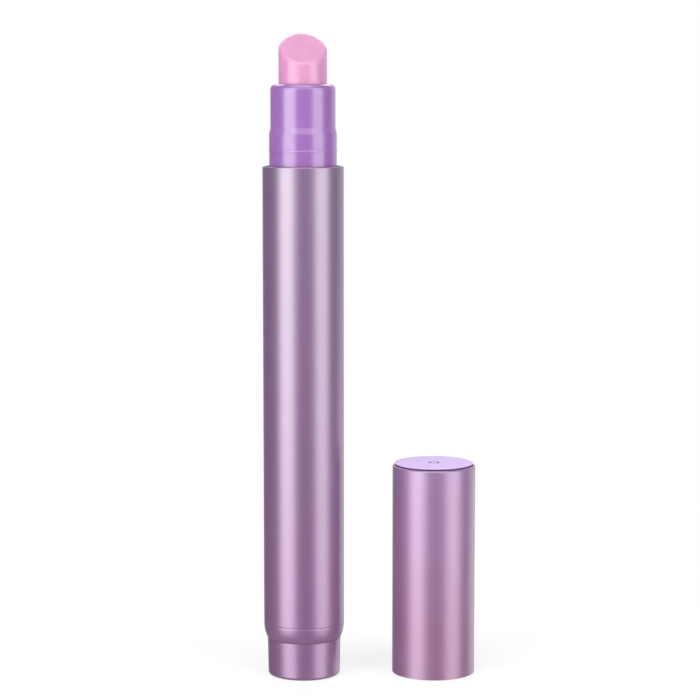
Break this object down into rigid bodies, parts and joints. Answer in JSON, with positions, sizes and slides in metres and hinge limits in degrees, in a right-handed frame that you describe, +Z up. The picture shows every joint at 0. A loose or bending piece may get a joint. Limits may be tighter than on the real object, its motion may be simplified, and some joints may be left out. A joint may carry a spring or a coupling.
{
  "type": "nail oil pen",
  "caption": "Twist-up nail oil pen with a slanted soft applicator, a stepped neck, a metal barrel and twist knob, and its pull-off cap standing beside it.",
  "frame": {"origin": "centre of the twist knob's flat foot ring, on the surface that the pen stands on", "axes": "+Z up the pen's axis to the applicator, +X towards the cap that stands beside the pen, -Y towards the low side of the slanted applicator"},
  "size_m": [0.0331, 0.014, 0.0996],
  "materials": {
    "anodised_aluminium": "satin violet anodised",
    "violet_plastic": "moulded, soft gloss",
    "lavender_plastic": "moulded, soft gloss",
    "pink_applicator": "soft, matte",
    "natural_plastic": "natural moulded polypropylene",
    "acetal": "moulded acetal",
    "seal_rubber": "moulded rubber"
  },
  "bodies": {
    "pen": {"barrel_sleeve": "anodised_aluminium", "reservoir": "natural_plastic", "tail_bush": "natural_plastic", "ratchet_ring": "acetal", "drive_nut": "natural_plastic", "neck": "violet_plastic", "neck_seal": "seal_rubber", "applicator_tip": "pink_applicator", "feed_tube": "natural_plastic"},
    "knob": {"knob_shell": "anodised_aluminium", "knob_core": "natural_plastic", "driver_tube": "natural_plastic", "pawl_ring": "acetal"},
    "screw": {"lead_screw": "natural_plastic", "rod_key": "natural_plastic"},
    "piston": {"piston": "natural_plastic", "piston_seals": "seal_rubber"},
    "cap": {"cap_sleeve": "anodised_aluminium", "cap_liner": "lavender_plastic", "cap_seal": "seal_rubber"}
  },
  "joints": [
    {"name": "knob_twist", "type": "hinge", "parent": "pen", "child": "knob", "pos_m": [0, 0, 0], "axis": [0, 0, 1], "range_deg": [0, 5400], "deforming": ["pawl_ring"]},
    {"name": "screw_advance", "type": "slide", "parent": "knob", "child": "screw", "axis": [0, 0, 1], "range_m": [0, 0.03]},
    {"name": "piston_advance", "type": "slide", "parent": "pen", "child": "piston", "axis": [0, 0, 1], "range_m": [0, 0.03]},
    {"name": "cap_lift", "type": "slide", "parent": "pen", "child": "cap", "axis": [0, 0, 1], "range_m": [0, 0.105]}
  ],
  "couplings": [
    {"joint": "knob_twist", "follows": "screw_advance", "rad_per_m": 3141.6},
    {"joint": "piston_advance", "follows": "screw_advance", "ratio": 1}
  ]
}
